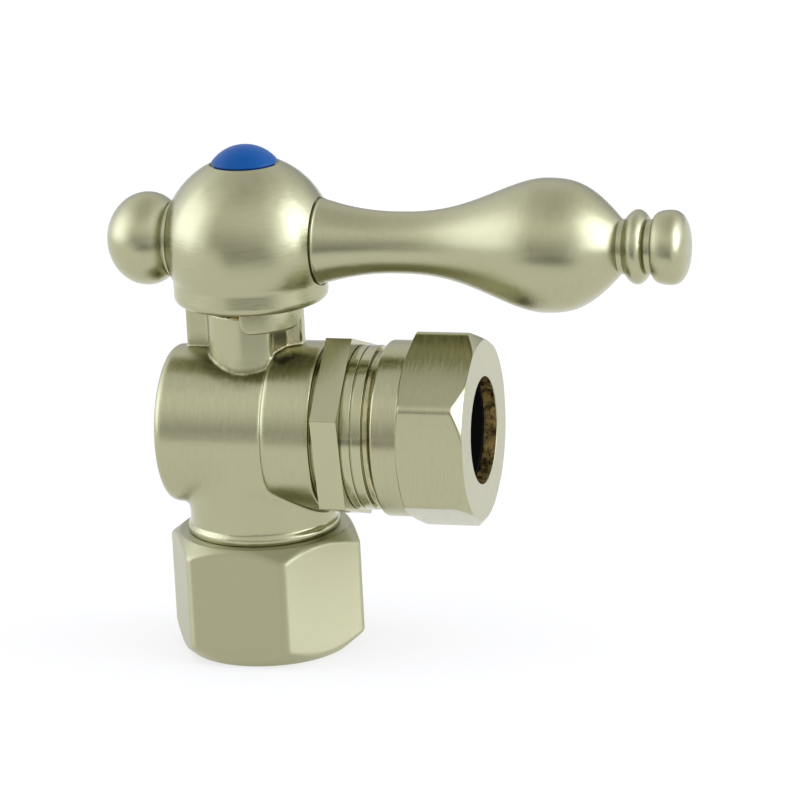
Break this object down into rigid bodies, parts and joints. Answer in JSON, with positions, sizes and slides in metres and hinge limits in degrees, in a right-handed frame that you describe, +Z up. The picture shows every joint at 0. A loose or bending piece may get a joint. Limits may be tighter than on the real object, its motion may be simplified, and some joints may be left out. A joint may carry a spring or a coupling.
{
  "type": "angle stop valve",
  "caption": "Quarter-turn angle stop valve with a vertical compression inlet, a horizontal slip-joint outlet and a turned lever handle in satin nickel.",
  "frame": {"origin": "centre of the inlet nut's bottom face, on the inlet's axis", "axes": "+Z up the inlet and the stem, +X out of the outlet and along the lever of the open valve, -Y the front in the picture"},
  "size_m": [0.0734, 0.023, 0.064],
  "materials": {
    "satin_nickel": "satin nickel plate on brass, finely brushed",
    "polished_nickel": "bright nickel plate on turned brass",
    "raw_brass": "bare turned brass",
    "ptfe": "waxy white",
    "black_rubber": "matte moulded rubber",
    "zinc_steel": "zinc plated",
    "index_blue": "glossy moulded blue"
  },
  "bodies": {
    "body": {"valve_body": "satin_nickel", "inner_seat": "ptfe", "outlet_seat": "ptfe", "outlet_adapter": "polished_nickel", "adapter_o_ring": "black_rubber"},
    "handle": {"stem": "raw_brass", "stem_thrust_washer": "ptfe", "stem_o_ring_lower": "black_rubber", "stem_o_ring_upper": "black_rubber", "handle_hub": "satin_nickel", "lever": "satin_nickel", "finial_ball": "satin_nickel", "handle_screw": "zinc_steel", "screw_lock_washer": "zinc_steel", "index_button": "index_blue"},
    "ball": {"valve_ball": "polished_nickel"},
    "ferrule": {"inlet_ferrule": "raw_brass"},
    "inlet_nut": {"inlet_nut": "satin_nickel"},
    "slip_washers": {"slip_washer": "black_rubber", "friction_ring": "raw_brass"},
    "slip_nut": {"slip_nut": "satin_nickel"}
  },
  "joints": [
    {"name": "handle_turn", "type": "hinge", "parent": "body", "child": "handle", "pos_m": [0, 0, 0.0284], "axis": [0, 0, 1], "range_deg": [-90, 0]},
    {"name": "ball_turn", "type": "hinge", "parent": "body", "child": "ball", "pos_m": [0, 0, 0.0284], "axis": [0, 0, 1], "range_deg": [-90, 0]},
    {"name": "ferrule_slide", "type": "slide", "parent": "body", "child": "ferrule", "axis": [0, 0, 1], "range_m": [-0.0064, 0]},
    {"name": "inlet_nut_turn", "type": "hinge", "parent": "ferrule", "child": "inlet_nut", "pos_m": [0, 0, 0], "axis": [0, 0, 1], "range_deg": [-1800, 0]},
    {"name": "slip_washer_slide", "type": "slide", "parent": "body", "child": "slip_washers", "axis": [1, 0, 0], "range_m": [0, 0.0064]},
    {"name": "slip_nut_turn", "type": "hinge", "parent": "slip_washers", "child": "slip_nut", "pos_m": [0.023, 0, 0.0284], "axis": [1, 0, 0], "range_deg": [0, 1800]}
  ],
  "couplings": [
    {"joint": "ball_turn", "follows": "handle_turn", "ratio": 1},
    {"joint": "ferrule_slide", "follows": "inlet_nut_turn", "m_per_rad": 0.00020213},
    {"joint": "slip_washer_slide", "follows": "slip_nut_turn", "m_per_rad": 0.00020213}
  ]
}
